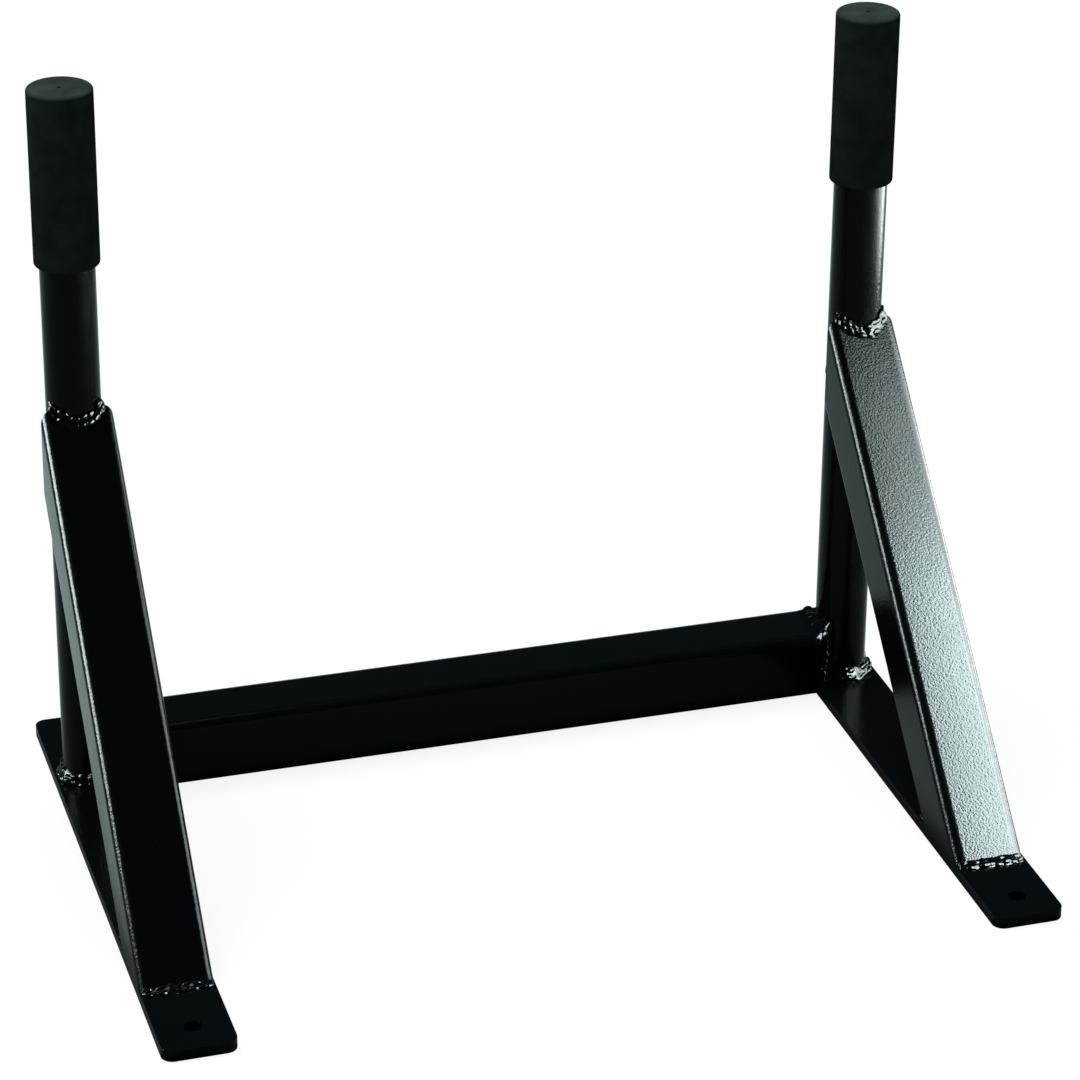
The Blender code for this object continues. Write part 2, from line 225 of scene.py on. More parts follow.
@dataclass(frozen=True)
class SideSizes:
    """Where one side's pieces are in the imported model."""

    side: Side
    axis: Vector
    handle_radius: float
    handle_top: float
    plate_low: Vector
    plate_high: Vector
    foot_y: float
    cut_y: float
    rise: float

    @classmethod
    def read(cls, side: Side) -> "SideSizes":
        """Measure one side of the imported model.

        Args:
            side: The side to measure.

        Returns:
            Its sizes.
        """
        tube_low, tube_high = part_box(f"handle_tube_{side.label}")
        plate_low, plate_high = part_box(f"wall_plate_{side.label}")
        brace_low, brace_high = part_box(f"brace_tube_{side.label}")
        rise = (brace_high.z - brace_low.z) / (brace_high.y - brace_low.y)
        middle = (tube_low + tube_high) / 2
        return cls(
            side=side,
            axis=Vector((middle.x, middle.y, 0.0)),
            handle_radius=(tube_high.x - tube_low.x) / 2,
            handle_top=tube_high.z,
            plate_low=plate_low,
            plate_high=plate_high,
            foot_y=brace_low.y - (brace_low.z - plate_high.z) / rise,
            cut_y=brace_high.y,
            rise=rise,
        )

    @property
    def stretch(self) -> float:
        """Length along the brace for each metre along the plate."""
        return math.hypot(1.0, self.rise)

    @property
    def up_brace(self) -> Vector:
        """Unit vector up the brace."""
        return Vector((0.0, 1.0, self.rise)) / self.stretch

    @property
    def off_brace(self) -> Vector:
        """Unit vector square to the brace's front face."""
        return Vector((0.0, -self.rise, 1.0)) / self.stretch

    @property
    def edges(self) -> tuple[float, float]:
        """X of the plate's two long edges, which the brace's sides meet."""
        return self.plate_low.x + SINK, self.plate_high.x - SINK

    def face_height(self, y: float) -> float:
        """Return the height of the brace's front face at a place along the plate."""
        return self.plate_high.z + self.rise * (y - self.foot_y)

    def around(self, turn: float, radius: float, height: float) -> Vector:
        """Return a point round the handle's axis.

        Args:
            turn: Turn from the direction towards the middle; a quarter turn on is up the plate.
            radius: Distance from the axis.
            height: Height above the wall.

        Returns:
            The point.
        """
        reach = Vector((self.side.inward * radius * math.cos(turn), radius * math.sin(turn), height))
        return self.axis + reach


@dataclass(frozen=True)
class SquareStock:
    """Square hollow section with rounded long corners and very slightly crowned sides."""

    width: float = 0.050
    wall: float = 0.003
    corner_radius: float = 0.007
    least_radius: float = 0.0004
    crown: float = 0.00005
    corner_steps: int = 10
    flat_steps: int = 24
    edge_share: float = 0.006

    def outline(self, inset: float = 0.0) -> list[Pair]:
        """Trace the section anticlockwise, starting at the lower end of its +X side.

        Args:
            inset: How far inside the outer skin the line runs.

        Returns:
            (point, outward normal) pairs in the section's plane.
        """
        radius = max(self.corner_radius - inset, self.least_radius)
        flat = self.width / 2 - self.crown - inset - radius
        between = [step / self.flat_steps for step in range(1, self.flat_steps)]
        line = []
        for side_x, side_y, start in CORNERS:
            line += quarter(Vector((side_x * flat, side_y * flat)), radius, start, self.corner_steps)
            begin, normal = line[-1]
            end = begin + 2 * flat * Vector((-normal.y, normal.x))
            for share in (self.edge_share, *between, 1.0 - self.edge_share):
                swell = normal * self.crown * 4 * share * (1 - share)
                line.append((begin.lerp(end, share) + swell, normal))
        return line


class Shell:
    """Points and faces of one closed surface while it is being made."""

    def __init__(self) -> None:
        """Start with nothing."""
        self.points: list[Vector] = []
        self.faces: list[tuple[int, ...]] = []

    def loft(self, rings: Sequence[Ring], closed: bool = False) -> "Shell":
        """Join rings of points, as a closed loop of rings or as a run with its two ends capped.

        Args:
            rings: Rings with the same number of points each.
            closed: Whether the last ring joins the first.

        Returns:
            This shell.
        """
        count = len(rings[0])
        base = len(self.points)
        self.points.extend(point for ring in rings for point in ring)
        for index in range(len(rings) if closed else len(rings) - 1):
            here = base + index * count
            there = base + (index + 1) % len(rings) * count
            for step in range(count):
                after = (step + 1) % count
                self.faces.append((here + step, here + after, there + after, there + step))
        if not closed:
            self.faces.append(tuple(range(base + count - 1, base - 1, -1)))
            self.faces.append(tuple(range(len(self.points) - count, len(self.points))))
        return self

    def lathe(self, profile: Sequence[Sequence[float]], axis: Vector, steps: int) -> "Shell":
        """Turn a closed profile of (radius, height) pairs round an upright axis.

        Args:
            profile: The profile's corners, in order.
            axis: A point at the axis's foot.
            steps: Number of straight sides of each ring.

        Returns:
            This shell.
        """
        rings = [circle(axis + Vector((0.0, 0.0, height)), radius, steps) for radius, height in profile]
        return self.loft(rings, closed=True)

    def mesh(self, name: str) -> bpy.types.Mesh:
        """Turn the shell into a mesh with its faces turned outwards and its curves smooth.

        Args:
            name: The mesh's name.

        Returns:
            The mesh.
        """
        data = bpy.data.meshes.new(name)
        data.from_pydata(self.points, [], self.faces)
        return tidy_mesh(data)


def tidy_mesh(data: bpy.types.Mesh) -> bpy.types.Mesh:
    """Turn a closed mesh's faces outwards and smooth its curves, with its corners kept sharp.

    Args:
        data: The mesh, which is changed in place.

    Returns:
        The same mesh.
    """
    work = bmesh.new()
    work.from_mesh(data)
    bmesh.ops.recalc_face_normals(work, faces=work.faces)
    work.to_mesh(data)
    work.free()
    data.shade_smooth()
    data.set_sharp_from_angle(angle=SMOOTH_ANGLE)
    return data


def shown(name: str, data: bpy.types.Mesh) -> bpy.types.Object:
    """Put a mesh into the scene, at the origin.

    Args:
        name: The name of its object.
        data: The mesh.

    Returns:
        The object.
    """
    item = bpy.data.objects.new(name, data)
    bpy.context.scene.collection.objects.link(item)
    return item


def settled(item: bpy.types.Object) -> bpy.types.Mesh:
    """Take the evaluated mesh of an object and remove the object with its modifiers.

    Args:
        item: The object to settle.

    Returns:
        A plain mesh with the modifiers' result.
    """
    depsgraph = bpy.context.evaluated_depsgraph_get()
    result = bpy.data.meshes.new_from_object(item.evaluated_get(depsgraph), depsgraph=depsgraph)
    item.modifiers.clear()
    start = item.data
    bpy.data.objects.remove(item)
    bpy.data.meshes.remove(start)
    return result


class GlossGroup(Enum):
    """Pieces that mirror the same softboxes, as if the others were flagged off with black cloth.

    Level tops would glare white from behind and from the sides if they mirrored every softbox.
    """

    ROUND_OR_SLOPED = "round_or_sloped_pieces"
    LEFT_BRACE = "left_brace"
    LEVEL = "level_pieces"

    @property
    def collection(self) -> bpy.types.Collection:
        """The collection that holds the group's pieces."""
        return bpy.data.collections.get(self.value) or bpy.data.collections.new(self.value)


def publish(
    node: str, data: bpy.types.Mesh, finish: bpy.types.Material,
    group: GlossGroup = GlossGroup.ROUND_OR_SLOPED,
) -> None:
    """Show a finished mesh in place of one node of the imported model.

    Args:
        node: The node that the piece stands for.
        data: The piece's mesh.
        finish: The piece's material.
        group: The group of pieces that mirror the same softboxes.
    """
    data.materials.clear()
    data.materials.append(finish)
    piece = shown(f"{node}_skin", data)
    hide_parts(node)
    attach(piece, "root")
    group.collection.objects.link(piece)
    triangles = sum(len(polygon.vertices) - 2 for polygon in data.polygons)
    LOG.info("%s: %d triangles", piece.name, triangles)


@dataclass(frozen=True)
class GlossEnamel:
    """Gloss black enamel, sprayed on steel.

    It is nearly black, with a mirror-like gloss that its orange peel breaks into small cells.
    """

    name: str = "gloss_black_enamel"
    body_hex: str = "#070c0d"
    shade_hex: str = "#04080a"
    sheen_hex: str = "#e4fbfa"
    # Enamel's typical level is 0.5. It was matched to the object at 0.04, where the black hardly shows
    # the pale floor and only the softboxes, which are far brighter, shine in it.
    specular: float = 0.04
    roughness_low: float = 0.13
    roughness_high: float = 0.21
    cloud_mm: float = 60.0
    # Real orange peel has cells of less than a millimetre, too fine to show in the render, so they are
    # drawn at 1.5 mm, as coarse as they need to be.
    peel_mm: float = 1.5
    peel_depth_mm: float = 0.11
    wave_mm: float = 26.0
    wave_depth_mm: float = 0.01

    def build(self) -> bpy.types.Material:
        """Make the enamel.

        Returns:
            Its material.
        """
        material = bpy.data.materials.new(self.name)
        material.use_nodes = True
        tree = material.node_tree
        place = add_node(tree, "ShaderNodeTexCoord").outputs["Object"]
        cloud, wave, peel = (
            add_node(tree, "ShaderNodeTexNoise", {"Vector": place, "Scale": per_metre(cell_mm), **more})
            for cell_mm, more in (
                (self.cloud_mm, {"Detail": 3.0}),
                (self.wave_mm, {"Detail": 1.0}),
                (self.peel_mm, {"Detail": 1.0, "Roughness": 0.4}),
            )
        )
        tint = add_node(tree, "ShaderNodeValToRGB", {"Fac": cloud.outputs["Fac"]})
        uneven = add_node(
            tree, "ShaderNodeMath", {0: cloud.outputs["Fac"], 1: peel.outputs["Fac"]}, operation="ADD",
        )
        gloss = add_node(tree, "ShaderNodeMapRange", {
            "Value": uneven.outputs[0], "From Min": 0.7, "From Max": 1.3,
            "To Min": self.roughness_low, "To Max": self.roughness_high,
        })
        feed(tree.nodes["Principled BSDF"], {
            "Base Color": set_stops(tint, (0.0, self.body_hex), (1.0, self.shade_hex)),
            "Roughness": gloss.outputs["Result"],
            "Normal": relief(tree, (wave, self.wave_depth_mm), (peel, self.peel_depth_mm)),
            "Specular IOR Level": self.specular,
            "Specular Tint": srgb(self.sheen_hex),
        })
        return material


@dataclass(frozen=True)
class MouldedRubber:
    """Black moulded rubber of the grips.

    It is a soft dark grey-green with a fine grain, faint rings from being stretched over the tube,
    and almost no shine.
    """

    name: str = "moulded_black_rubber"
    body_hex: str = "#37433f"
    worn_hex: str = "#2b3632"
    roughness_low: float = 0.68
    roughness_high: float = 0.86
    # Rubber's typical level is 0.5. It was matched to the object at 0, because no shine shows on it.
    specular: float = 0.0
    patch_mm: float = 18.0
    # Real moulded grain is about 0.3 mm across, too fine to show in the render, so it is drawn at
    # 0.9 mm, as coarse as it needs to be.
    grain_mm: float = 0.9
    grain_depth_mm: float = 0.05
    ring_mm: float = 18.0
    ring_depth_mm: float = 0.10

    def build(self) -> bpy.types.Material:
        """Make the rubber.

        Returns:
            Its material.
        """
        material = bpy.data.materials.new(self.name)
        material.use_nodes = True
        tree = material.node_tree
        place = add_node(tree, "ShaderNodeTexCoord").outputs["Object"]
        patch, grain = (
            add_node(tree, "ShaderNodeTexNoise", {
                "Vector": place, "Scale": per_metre(cell_mm), "Detail": detail,
            })
            for cell_mm, detail in ((self.patch_mm, 4.0), (self.grain_mm, 2.0))
        )
        tint = add_node(tree, "ShaderNodeValToRGB", {"Fac": patch.outputs["Fac"]})
        matt = add_node(tree, "ShaderNodeMapRange", {
            "Value": patch.outputs["Fac"], "From Min": 0.3, "From Max": 0.7,
            "To Min": self.roughness_low, "To Max": self.roughness_high,
        })
        # At a scale of 1 the wave texture repeats every pi / 10 metres.
        rings = add_node(tree, "ShaderNodeTexWave", {
            "Vector": place, "Scale": per_metre(self.ring_mm) * math.pi / 10,
            "Distortion": 2.5, "Detail": 2.0, "Detail Scale": 1.5,
        }, wave_type="BANDS", bands_direction="Z", wave_profile="SIN")
        feed(tree.nodes["Principled BSDF"], {
            "Base Color": set_stops(tint, (0.35, self.worn_hex), (0.65, self.body_hex)),
            "Roughness": matt.outputs["Result"],
            "Normal": relief(tree, (rings, self.ring_depth_mm), (grain, self.grain_depth_mm)),
            "Specular IOR Level": self.specular,
        })
        return material


@dataclass(frozen=True)
class Finishes:
    """The three finishes of the part, made once."""

    steel: bpy.types.Material
    weld: bpy.types.Material
    rubber: bpy.types.Material

    @classmethod
    def make(cls) -> "Finishes":
        """Build the materials."""
        weld = GlossEnamel(
            name="gloss_black_enamel_on_weld", roughness_low=0.10, roughness_high=0.16, peel_mm=1.6,
            peel_depth_mm=0.010, wave_mm=6.0, wave_depth_mm=0.05,
        )
        return cls(GlossEnamel().build(), weld.build(), MouldedRubber().build())


@dataclass(frozen=True)
class Station:
    """A bead's cross-section at one place: its face from toe to toe, and its hidden root."""

    face: Ring
    root: Ring

    @property
    def centre(self) -> Vector:
        """The middle of the root."""
        return sum(self.root, Vector((0.0, 0.0, 0.0))) / len(self.root)

    @property
    def top(self) -> Vector:
        """The middle of the face."""
        return self.face[len(self.face) // 2]

    @property
    def outward(self) -> Vector:
        """Unit vector from the root to midway between the toes."""
        return ((self.face[0] + self.face[-1]) / 2 - self.centre).normalized()

    def scaled(self, share: float) -> "Station":
        """Shrink the section towards its root.

        Args:
            share: The share of its size that it keeps.

        Returns:
            The smaller section.
        """
        centre = self.centre
        face, root = (
            [centre + (point - centre) * share for point in line] for line in (self.face, self.root)
        )
        return Station(face, root)


@dataclass(frozen=True)
class WeldBead:
    """A run of arc weld: a domed bead with overlapping ripples, under paint.

    The ripples are set along the bead by Geometry Nodes, and a fine remesh then softens the whole,
    as paint does.
    """

    crown: float = 0.0011
    crown_steps: int = 8
    end_share: float = 0.30
    taper_length: float = 0.006
    wander: float = 0.24
    wander_per_metre: float = 160.0
    wander_per_seed: float = 3.7
    wander_offset: float = 0.3
    pitch: float = 0.0052
    ripple_length: float = 0.0040
    ripple_height: float = 0.0017
    ripple_sunk_share: float = 0.72
    ripple_rows: int = 2
    row_lag: int = 2
    row_spread_share: float = 0.9
    ripple_width_share: float = 0.88
    ripple_tilt_degrees: float = 8.0
    ripple_facets: tuple[int, int] = (14, 8)
    variation: float = 0.32
    jitter: float = 0.0007
    grid: float = 0.00032
    flow_share: float = 0.5
    flow_steps: int = 9
    edge_give: float = 0.0012

    def section(self, toe: Vector, other_toe: Vector, root: Vector) -> Station:
        """Return the section of a bead whose face runs between two toes.

        Args:
            toe: One edge of the bead's face.
            other_toe: The other edge.
            root: The hidden point that closes the section.

        Returns:
            The section.
        """
        outward = Station([toe, other_toe], [root]).outward
        face = []
        for step in range(self.crown_steps + 1):
            share = step / self.crown_steps
            face.append(toe.lerp(other_toe, share) + outward * self.crown * math.sin(math.pi * share))
        return Station(face, [root])

    def shaped(self, stations: Sequence[Station], seed: int) -> list[Station]:
        """Round off the bead's ends and let its size wander as a hand-laid bead does.

        Args:
            stations: The sections along the bead.
            seed: Seed that makes this bead's wander its own.

        Returns:
            The changed sections.
        """
        runs = [0.0]
        for before, after in zip(stations, stations[1:]):
            runs.append(runs[-1] + (after.top - before.top).length)
        shaped = []
        for run, station in zip(runs, stations):
            taper = math.sin(math.pi / 2 * min(1.0, min(run, runs[-1] - run) / self.taper_length))
            share = min(1.0, self.end_share + (1.0 - self.end_share) * taper)
            spot = Vector((run * self.wander_per_metre, seed * self.wander_per_seed, self.wander_offset))
            share *= 1.0 - self.wander / 2 + self.wander * noise.noise(spot)
            shaped.append(station.scaled(share))
        return shaped

    def ripple_tree(self) -> bpy.types.NodeTree:
        """Make the Geometry Nodes tree that sets ripples along a line of bead middles.

        Returns:
            The tree, which is made once and then shared by all the beads.
        """
        known = bpy.data.node_groups.get("weld_ripples")
        if known:
            return known
        tree = bpy.data.node_groups.new("weld_ripples", "GeometryNodeTree")
        numbers = ("Pitch", "Ripple Length", "Ripple Height", "Ripple Tilt", "Variation", "Jitter")
        sockets = (
            ("Line", "INPUT", "Geometry"), ("Ripples", "OUTPUT", "Geometry"),
            *((name, "INPUT", "Float") for name in numbers),
            ("Seed", "INPUT", "Int"), ("Finish", "INPUT", "Material"),
        )
        for name, direction, kind in sockets:
            tree.interface.new_socket(name=name, in_out=direction, socket_type=f"NodeSocket{kind}")
        given = add_node(tree, "NodeGroupInput").outputs
        path = add_node(tree, "GeometryNodeMeshToCurve", {"Mesh": given["Line"]})
        spaced = add_node(
            tree, "GeometryNodeResampleCurve", {"Curve": path.outputs["Curve"], "Length": given["Pitch"]},
            mode="LENGTH",
        )
        outward, half = (
            add_node(
                tree, "GeometryNodeInputNamedAttribute", {"Name": name}, data_type=kind,
            ).outputs["Attribute"]
            for name, kind in (("bead_out", "FLOAT_VECTOR"), ("bead_half_width", "FLOAT"))
        )
        along = add_node(tree, "GeometryNodeInputTangent")
        upright = add_node(
            tree, "FunctionNodeAxesToRotation",
            {"Primary Axis": outward, "Secondary Axis": along.outputs["Tangent"]},
            primary_axis="Z", secondary_axis="X",
        )
        lean = add_node(
            tree, "FunctionNodeAxisAngleToRotation", {"Axis": (0.0, 1.0, 0.0), "Angle": given["Ripple Tilt"]},
        )
        turned = add_node(
            tree, "FunctionNodeRotateRotation",
            {"Rotation": upright.outputs["Rotation"], "Rotate By": lean.outputs["Rotation"]},
            rotation_space="LOCAL",
        )
        low, high, back = (
            add_node(tree, "ShaderNodeMath", {0: start, 1: given[change]}, operation=way).outputs[0]
            for start, change, way in (
                (1.0, "Variation", "SUBTRACT"), (1.0, "Variation", "ADD"), (0.0, "Jitter", "SUBTRACT"),
            )
        )
        swell, stray = (
            next(socket for socket in add_node(
                tree, "FunctionNodeRandomValue", {"Min": least, "Max": most, "Seed": given["Seed"]},
                data_type=kind,
            ).outputs if socket.enabled)
            for least, most, kind in ((low, high, "FLOAT"), (back, given["Jitter"], "FLOAT_VECTOR"))
        )
        height = add_node(tree, "ShaderNodeMath", {0: given["Ripple Height"], 1: swell}, operation="MULTIPLY")
        size = add_node(tree, "ShaderNodeCombineXYZ", {
            "X": given["Ripple Length"], "Y": half, "Z": height.outputs[0],
        })
        segments, rings = self.ripple_facets
        ripple = add_node(
            tree, "GeometryNodeMeshUVSphere", {"Segments": segments, "Rings": rings, "Radius": 1.0},
        )
        loose = add_node(
            tree, "GeometryNodeSetPosition", {"Geometry": spaced.outputs["Curve"], "Offset": stray},
        )
        placed = add_node(tree, "GeometryNodeInstanceOnPoints", {
            "Points": loose.outputs["Geometry"], "Instance": ripple.outputs["Mesh"],
            "Rotation": turned.outputs["Rotation"], "Scale": size.outputs["Vector"],
        })
        real = add_node(tree, "GeometryNodeRealizeInstances", {"Geometry": placed.outputs["Instances"]})
        dressed = add_node(tree, "GeometryNodeSetMaterial", {
            "Geometry": real.outputs["Geometry"], "Material": given["Finish"],
        })
        add_node(tree, "NodeGroupOutput", {"Ripples": dressed.outputs["Geometry"]})
        return tree

    def ripples(self, stations: Sequence[Station], finish: bpy.types.Material, seed: int) -> bpy.types.Mesh:
        """Make the ripples along a bead.

        Args:
            stations: The bead's sections.
            finish: The material of the ripples.
            seed: Seed of their small differences.

        Returns:
            A mesh of closed ripples.
        """
        middles, outs, halves, links = [], [], [], []
        for row in range(self.ripple_rows):
            shift = (2 * row + 1) / self.ripple_rows - 1
            for index, station in enumerate(stations[self.row_lag * row:]):
                outward = station.outward
                across = (station.face[-1] - station.face[0]) / 2
                if index:
                    links.append((len(middles) - 1, len(middles)))
                sunk = outward * self.ripple_height * self.ripple_sunk_share
                middles.append(station.top - sunk + across * shift * self.row_spread_share)
                outs.append(outward)
                halves.append(across.length * self.ripple_width_share / self.ripple_rows)
        data = bpy.data.meshes.new("bead_line")
        data.from_pydata(middles, links, [])
        data.attributes.new("bead_out", "FLOAT_VECTOR", "POINT").data.foreach_set(
            "vector", [value for out in outs for value in out])
        data.attributes.new("bead_half_width", "FLOAT", "POINT").data.foreach_set("value", halves)
        line = shown("bead_line", data)
        modifier = line.modifiers.new("Ripples", "NODES")
        modifier.node_group = self.ripple_tree()
        values = {
            "Pitch": self.pitch, "Ripple Length": self.ripple_length, "Ripple Height": self.ripple_height,
            "Ripple Tilt": math.radians(self.ripple_tilt_degrees), "Variation": self.variation,
            "Jitter": self.jitter, "Seed": seed, "Finish": finish,
        }
        for socket in modifier.node_group.interface.items_tree:
            if socket.name in values:
                modifier[socket.identifier] = values[socket.name]
        return settled(line)

    def lay(
        self, node: str, stations: Sequence[Station], finish: bpy.types.Material, seed: int,
        side_limits: tuple[float, float] | None = None,
    ) -> None:
        """Make one bead and show it in place of its node.

        Args:
            node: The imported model's node.
            stations: The bead's sections.
            finish: The bead's material.
            seed: Seed of this bead's small differences.
            side_limits: The lowest and highest X that the bead may reach, where it lies near an edge.
        """
        stations = self.shaped(stations, seed)
        core = Shell().loft([station.face + station.root for station in stations]).mesh("bead_core")
        ripples = self.ripples(stations, finish, seed)
        work = bmesh.new()
        work.from_mesh(core)
        work.from_mesh(ripples)
        work.to_mesh(core)
        work.free()
        bpy.data.meshes.remove(ripples)
        whole = shown("bead_whole", core)
        melt = whole.modifiers.new("Melt", "REMESH")
        melt.mode = "VOXEL"
        melt.voxel_size = self.grid
        melt.use_smooth_shade = True
        flow = whole.modifiers.new("Flow", "SMOOTH")
        flow.factor = self.flow_share
        flow.iterations = self.flow_steps
        data = settled(whole)
        if side_limits:
            self.hold_between(data, *side_limits)
        data.shade_smooth()
        publish(node, data, finish)

    def hold_between(self, data: bpy.types.Mesh, low: float, high: float) -> None:
        """Press a bead's sides in smoothly, so that it doesn't hang over the edges it lies between.

        Args:
            data: The bead's mesh, which is changed in place.
            low: The lowest X that it may reach.
            high: The highest X that it may reach.
        """
        give = self.edge_give
        for corner in data.vertices:
            for limit, sign in ((low, -1.0), (high, 1.0)):
                past = (corner.co.x - limit) * sign + give
                if past > 0.0:
                    corner.co.x = limit - sign * give * math.exp(-past / give)


@dataclass
class WallPlate:
    """Flat bar with rounded corners, eased edges and a bolt hole near each end."""

    sizes: SideSizes
    finishes: Finishes
    corner_radius: float = 0.008
    edge_radius: float = 0.0011
    edge_steps: int = 3
    edge_angle_degrees: float = 50.0
    hole_radius: float = 0.006
    hole_from_end: float = 0.025
    corner_steps: int = 10
    hole_steps: int = 64

    def outline(self) -> Ring:
        """Trace the bar's rounded outline on the wall, anticlockwise.

        Returns:
            The outline's points.
        """
        low, high = self.sizes.plate_low, self.sizes.plate_high
        centre, half = (low + high) / 2, (high - low) / 2
        line = []
        for side_x, side_y, start in CORNERS:
            corner = Vector((
                centre.x + side_x * (half.x - self.corner_radius),
                centre.y + side_y * (half.y - self.corner_radius),
            ))
            line += [
                Vector((*point, low.z))
                for point, _ in quarter(corner, self.corner_radius, start, self.corner_steps)
            ]
        return line

    def hole(self, y: float) -> Ring:
        """Return a bolt hole's outline on the wall."""
        return circle(
            Vector((self.sizes.axis.x, y, self.sizes.plate_low.z)), self.hole_radius, self.hole_steps,
        )

    def build(self) -> None:
        """Make and dress the plate."""
        low, high = self.sizes.plate_low, self.sizes.plate_high
        work = bmesh.new()
        holes = [self.hole(y) for y in (low.y + self.hole_from_end, high.y - self.hole_from_end)]
        for line in (self.outline(), *holes):
            corners = [work.verts.new(point) for point in line]
            for before, after in zip(corners, corners[1:] + corners[:1]):
                work.edges.new((before, after))
        bmesh.ops.triangle_fill(work, use_beauty=True, use_dissolve=False, edges=work.edges)
        raised = bmesh.ops.extrude_face_region(work, geom=work.faces[:])["geom"]
        bmesh.ops.translate(
            work, vec=Vector((0.0, 0.0, high.z - low.z)),
            verts=[item for item in raised if isinstance(item, bmesh.types.BMVert)],
        )
        data = bpy.data.meshes.new("plate")
        work.to_mesh(data)
        work.free()
        plate = shown("plate", tidy_mesh(data))
        ease = plate.modifiers.new("Ease", "BEVEL")
        ease.width = self.edge_radius
        ease.segments = self.edge_steps
        ease.limit_method = "ANGLE"
        ease.angle_limit = math.radians(self.edge_angle_degrees)
        ease.harden_normals = True
        name = f"wall_plate_{self.sizes.side.label}"
        publish(name, settled(plate), self.finishes.steel, GlossGroup.LEVEL)


@dataclass
class Handle:
    """Round handle tube that stands on its plate, with a rubber grip over its end."""

    sizes: SideSizes
    finishes: Finishes
    seed: int
    wall: float = 0.0025
    end_ease: float = 0.0004
    grip_wall: float = 0.0032
    grip_end_wall: float = 0.004
    rim_radius: float = 0.0025
    rim_steps: int = 10
    lip_bevel: float = 0.0015
    lip_steps: int = 5
    vent_radius: float = 0.0015
    vent_ease: float = 0.0009
    vent_steps: int = 4
    steps: int = 160
    base_leg: float = 0.0056
    base_climb: float = 0.0105
    base_open_degrees: float = 57.0
    base_stations: int = 90
    bead: WeldBead = field(default_factory=lambda: WeldBead(
        pitch=0.0066, ripple_length=0.0046, ripple_height=0.0026, variation=0.42, jitter=0.0011,
        flow_steps=12,
    ))

    def build_tube(self) -> None:
        """Make and dress the tube."""
        radius, bottom, top = self.sizes.handle_radius, self.sizes.plate_high.z, self.sizes.handle_top
        bore, ease = radius - self.wall, self.end_ease
        profile = [
            (radius, bottom), (radius, top - ease), (radius - ease, top),
            (bore + ease, top), (bore, top - ease), (bore, bottom),
        ]
        data = Shell().lathe(profile, self.sizes.axis, self.steps).mesh("handle")
        publish(f"handle_tube_{self.sizes.side.label}", data, self.finishes.steel)

    def build_grip(self) -> None:
        """Make and dress the rubber grip, with its rounded rim, bevelled lip and small vent."""
        node = f"rubber_grip_{self.sizes.side.label}"
        low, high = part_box(node)
        outer = (high.x - low.x) / 2
        bore = outer - self.grip_wall
        lip, rim, vent = self.lip_bevel, self.rim_radius, self.vent_ease
        rounds = (
            (outer - lip, low.z + lip, lip, -90.0, self.lip_steps),
            (outer - rim, high.z - rim, rim, 0.0, self.rim_steps),
            (self.vent_radius + vent, high.z - vent, vent, 90.0, self.vent_steps),
        )
        profile = [(bore, low.z)]
        for reach, height, radius, start, steps in rounds:
            profile += [point for point, _ in quarter(Vector((reach, height)), radius, start, steps)]
        profile += [(self.vent_radius, high.z - self.grip_end_wall), (bore, high.z - self.grip_end_wall)]
        data = Shell().lathe(profile, self.sizes.axis, self.steps).mesh("grip")
        publish(node, data, self.finishes.rubber)

    def build_base_weld(self) -> None:
        """Make and dress the bead round the tube's foot, open towards the cross tube."""
        sizes = self.sizes
        opening = math.radians(self.base_open_degrees)
        floor = sizes.plate_high.z - SINK
        skin = sizes.handle_radius - SINK
        stations = []
        for index in range(self.base_stations):
            turn = opening + (2 * math.pi - 2 * opening) * index / (self.base_stations - 1)
            stations.append(self.bead.section(
                sizes.around(turn, skin + self.base_leg, floor),
                sizes.around(turn, skin, floor + self.base_climb),
                sizes.around(turn, skin - SINK, floor - SINK),
            ))
        node = f"handle_base_weld_{sizes.side.label}"
        self.bead.lay(node, stations, self.finishes.weld, self.seed, sizes.edges)

    def build(self) -> None:
        """Make and dress the tube, its grip and its base weld."""
        self.build_tube()
        self.build_grip()
        self.build_base_weld()


